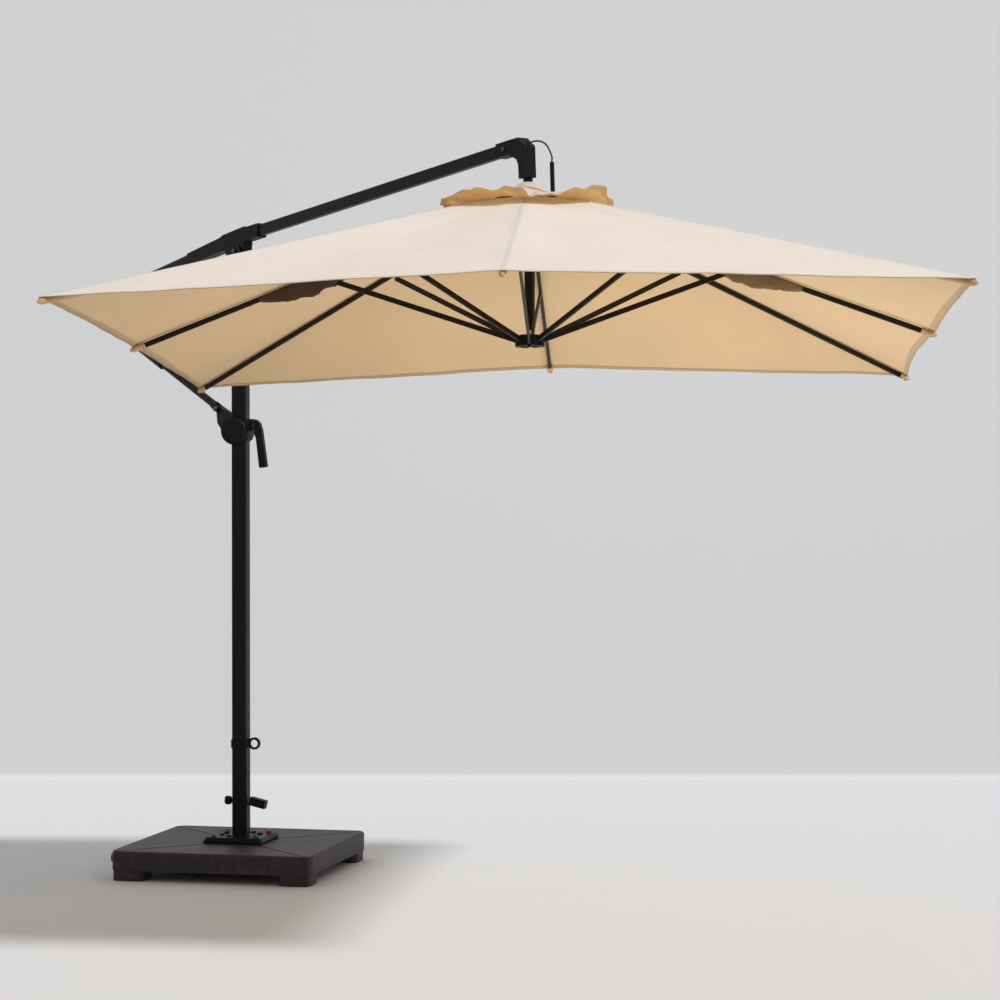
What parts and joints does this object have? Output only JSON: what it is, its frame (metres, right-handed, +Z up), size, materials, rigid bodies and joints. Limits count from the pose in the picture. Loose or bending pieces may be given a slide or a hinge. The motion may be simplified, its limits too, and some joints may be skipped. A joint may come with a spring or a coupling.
{
  "type": "cantilever parasol",
  "caption": "Square garden parasol hung from a cantilevered arm on a swivelling offset mast, with a crank, a sliding tilt strut, folding ribs and a weighted base.",
  "frame": {"origin": "on the mast's axis at the floor, on the underside of the base's centre foot", "axes": "+Z up along the mast; +X from the mast towards the crown of the canopy, so the arm and its strut lie in Y = 0"},
  "size_m": [5.1682, 3.8155, 2.6961],
  "materials": {
    "painted_steel": "powder coat, satin",
    "dark_plastic": "moulded, fine grain",
    "base_plastic": "moulded, matt",
    "plated_steel": "zinc plated",
    "red_plastic": "moulded",
    "sand": "packed sand",
    "canopy_cloth": "woven polyester, cream",
    "vent_cloth": "woven polyester, ochre",
    "cord_weave": "braided"
  },
  "bodies": {
    "base": {"base_tank": "base_plastic", "base_ballast": "sand", "base_foot_1": "base_plastic", "base_foot_2": "base_plastic", "base_foot_3": "base_plastic", "base_foot_4": "base_plastic", "centre_foot": "base_plastic", "mast_plate": "painted_steel", "plate_bolt_1": "plated_steel", "plate_bolt_2": "plated_steel", "plate_bolt_3": "plated_steel", "plate_bolt_4": "plated_steel", "pivot_spigot": "plated_steel", "lock_tab": "red_plastic"},
    "filler_cap": {"filler_cap": "dark_plastic"},
    "mast": {"mast_tube": "painted_steel", "mast_head": "dark_plastic", "head_pin": "plated_steel", "strap_ring": "dark_plastic"},
    "lock_knob": {"lock_knob": "dark_plastic"},
    "foot_pedal": {"foot_pedal": "painted_steel"},
    "slider": {"slider_housing": "dark_plastic", "slider_cover": "dark_plastic"},
    "crank": {"crank_spindle": "plated_steel", "crank_handle": "dark_plastic"},
    "strut": {"strut_tube": "painted_steel", "strut_collar": "dark_plastic", "strut_foot": "dark_plastic", "strut_head": "dark_plastic", "strut_pin": "plated_steel"},
    "arm": {"arm_tube": "painted_steel", "tail_tube": "painted_steel", "tail_cap": "dark_plastic", "arm_bracket": "dark_plastic", "elbow": "dark_plastic", "elbow_bolt": "plated_steel", "post_tube": "painted_steel", "crown_hub": "dark_plastic", "crank_cord": "cord_weave", "cord_sleeve": "dark_plastic", "canopy_fabric": "canopy_cloth", "vent_flap": "vent_cloth"},
    "runner": {"runner_hub": "dark_plastic"},
    "rib_1": {"rib_1": "painted_steel"},
    "rib_strut_1": {"rib_strut_1": "painted_steel"},
    "rib_2": {"rib_2": "painted_steel"},
    "rib_strut_2": {"rib_strut_2": "painted_steel"},
    "rib_3": {"rib_3": "painted_steel"},
    "rib_strut_3": {"rib_strut_3": "painted_steel"},
    "rib_4": {"rib_4": "painted_steel"},
    "rib_strut_4": {"rib_strut_4": "painted_steel"},
    "rib_5": {"rib_5": "painted_steel"},
    "rib_strut_5": {"rib_strut_5": "painted_steel"},
    "rib_6": {"rib_6": "painted_steel"},
    "rib_strut_6": {"rib_strut_6": "painted_steel"},
    "rib_7": {"rib_7": "painted_steel"},
    "rib_strut_7": {"rib_strut_7": "painted_steel"},
    "rib_8": {"rib_8": "painted_steel"},
    "rib_strut_8": {"rib_strut_8": "painted_steel"}
  },
  "joints": [
    {"name": "filler_cap_turn", "type": "hinge", "parent": "base", "child": "filler_cap", "pos_m": [-0.08983, -0.49803, 0.077], "axis": [-0.7431, -0.6691, 0], "continuous": true},
    {"name": "mast_swivel", "type": "hinge", "parent": "base", "child": "mast", "pos_m": [0, 0, 0.12], "axis": [0, 0, 1], "continuous": true},
    {"name": "lock_knob_turn", "type": "hinge", "parent": "mast", "child": "lock_knob", "pos_m": [-0.02229, -0.02007, 0.272], "axis": [-0.7431, -0.6691, 0], "continuous": true},
    {"name": "pedal_press", "type": "hinge", "parent": "mast", "child": "foot_pedal", "pos_m": [0.02861, 0.02576, 0.272], "axis": [-0.6691, 0.7431, 0], "range_deg": [0, 10], "stiffness_Nm_per_rad": 4, "springref_deg": -14.32},
    {"name": "arm_tilt", "type": "hinge", "parent": "mast", "child": "arm", "pos_m": [0, 0, 2.425], "axis": [0, -1, 0], "range_deg": [-3, 25]},
    {"name": "slider_slide", "type": "slide", "parent": "mast", "child": "slider", "axis": [0, 0, 1], "range_m": [-0.85, 0.11]},
    {"name": "strut_pivot", "type": "hinge", "parent": "slider", "child": "strut", "pos_m": [-0.165, 0, 1.81], "axis": [0, 1, 0], "range_deg": [-3, 18]},
    {"name": "crank_turn", "type": "hinge", "parent": "slider", "child": "crank", "pos_m": [0.03864, 0.03479, 1.745], "axis": [0.7431, 0.6691, 0], "range_deg": [-10, 2200]},
    {"name": "rib_1_fold", "type": "hinge", "parent": "arm", "child": "rib_1", "pos_m": [1.94709, 0.02713, 2.49864], "axis": [-0.7729, 0.6303, -0.0734], "range_deg": [-1, 65.23]},
    {"name": "rib_strut_1_turn", "type": "hinge", "parent": "rib_1", "child": "rib_strut_1", "pos_m": [2.37323, 0.51967, 2.24118], "axis": [-0.7729, 0.6303, -0.0734], "range_deg": [-132.62, 1]},
    {"name": "rib_2_fold", "type": "hinge", "parent": "arm", "child": "rib_2", "pos_m": [1.9215, 0.03477, 2.49666], "axis": [-0.9927, -0.1027, -0.0631], "range_deg": [-1, 65.1]},
    {"name": "rib_strut_2_turn", "type": "hinge", "parent": "rib_2", "child": "rib_strut_2", "pos_m": [1.86786, 0.69419, 2.26694], "axis": [-0.9927, -0.1027, -0.0631], "range_deg": [-122.03, 1]},
    {"name": "rib_3_fold", "type": "hinge", "parent": "arm", "child": "rib_3", "pos_m": [1.89796, 0.02204, 2.49552], "axis": [-0.631, -0.7756, -0.0159], "range_deg": [-1, 68]},
    {"name": "rib_strut_3_turn", "type": "hinge", "parent": "rib_3", "child": "rib_strut_3", "pos_m": [1.41668, 0.4196, 2.20295], "axis": [-0.631, -0.7756, -0.0159], "range_deg": [-134, 1]},
    {"name": "rib_4_fold", "type": "hinge", "parent": "arm", "child": "rib_4", "pos_m": [1.89026, -0.00362, 2.49588], "axis": [0.1003, -0.9941, 0.0407], "range_deg": [-1, 65.1]},
    {"name": "rib_strut_4_turn", "type": "hinge", "parent": "rib_4", "child": "rib_strut_4", "pos_m": [1.23848, -0.07938, 2.25109], "axis": [0.1003, -0.9941, 0.0407], "range_deg": [-122.03, 1]},
    {"name": "rib_5_fold", "type": "hinge", "parent": "arm", "child": "rib_5", "pos_m": [1.90292, -0.02717, 2.49753], "axis": [0.7729, -0.6303, 0.0734], "range_deg": [-1, 65.23]},
    {"name": "rib_strut_5_turn", "type": "hinge", "parent": "rib_5", "child": "rib_strut_5", "pos_m": [1.51272, -0.53798, 2.21951], "axis": [0.7729, -0.6303, 0.0734], "range_deg": [-132.62, 1]},
    {"name": "rib_6_fold", "type": "hinge", "parent": "arm", "child": "rib_6", "pos_m": [1.92852, -0.03482, 2.49951], "axis": [0.9927, 0.1027, 0.0631], "range_deg": [-1, 65.1]},
    {"name": "rib_strut_6_turn", "type": "hinge", "parent": "rib_6", "child": "rib_strut_6", "pos_m": [2.00933, -0.70805, 2.32429], "axis": [0.9927, 0.1027, 0.0631], "range_deg": [-122.03, 1]},
    {"name": "canopy_fold", "type": "hinge", "parent": "arm", "child": "rib_7", "pos_m": [1.95206, -0.02208, 2.50065], "axis": [0.631, 0.7756, 0.0159], "range_deg": [0, 66], "deforming": ["canopy_fabric"]},
    {"name": "rib_strut_7_turn", "type": "hinge", "parent": "rib_7", "child": "rib_strut_7", "pos_m": [2.46627, -0.43639, 2.30261], "axis": [0.631, 0.7756, 0.0159], "range_deg": [-134, 1]},
    {"name": "rib_8_fold", "type": "hinge", "parent": "arm", "child": "rib_8", "pos_m": [1.95975, 0.00357, 2.50029], "axis": [-0.1003, 0.9941, -0.0407], "range_deg": [-1, 65.1]},
    {"name": "rib_strut_8_turn", "type": "hinge", "parent": "rib_8", "child": "rib_strut_8", "pos_m": [2.63872, 0.06552, 2.34013], "axis": [-0.1003, 0.9941, -0.0407], "range_deg": [-122.03, 1]},
    {"name": "runner_level", "type": "hinge", "parent": "rib_strut_7", "child": "runner", "pos_m": [1.98499, -0.03882, 2.01004], "axis": [0.631, 0.7756, 0.0159], "range_deg": [-1, 68]}
  ],
  "couplings": [
    {"joint": "slider_slide", "follows": "arm_tilt", "m_per_rad": -1.91},
    {"joint": "strut_pivot", "follows": "arm_tilt", "ratio": 0.67},
    {"joint": "crank_turn", "follows": "canopy_fold", "ratio": 32.727},
    {"joint": "rib_1_fold", "follows": "canopy_fold", "ratio": 0.95798},
    {"joint": "rib_strut_1_turn", "follows": "canopy_fold", "ratio": -1.9791},
    {"joint": "rib_2_fold", "follows": "canopy_fold", "ratio": 0.9561},
    {"joint": "rib_strut_2_turn", "follows": "canopy_fold", "ratio": -1.8186},
    {"joint": "rib_3_fold", "follows": "canopy_fold", "ratio": 1},
    {"joint": "rib_strut_3_turn", "follows": "canopy_fold", "ratio": -2},
    {"joint": "rib_4_fold", "follows": "canopy_fold", "ratio": 0.9561},
    {"joint": "rib_strut_4_turn", "follows": "canopy_fold", "ratio": -1.8186},
    {"joint": "rib_5_fold", "follows": "canopy_fold", "ratio": 0.95798},
    {"joint": "rib_strut_5_turn", "follows": "canopy_fold", "ratio": -1.9791},
    {"joint": "rib_6_fold", "follows": "canopy_fold", "ratio": 0.9561},
    {"joint": "rib_strut_6_turn", "follows": "canopy_fold", "ratio": -1.8186},
    {"joint": "rib_strut_7_turn", "follows": "canopy_fold", "ratio": -2},
    {"joint": "rib_8_fold", "follows": "canopy_fold", "ratio": 0.9561},
    {"joint": "rib_strut_8_turn", "follows": "canopy_fold", "ratio": -1.8186},
    {"joint": "runner_level", "follows": "canopy_fold", "ratio": 1}
  ]
}
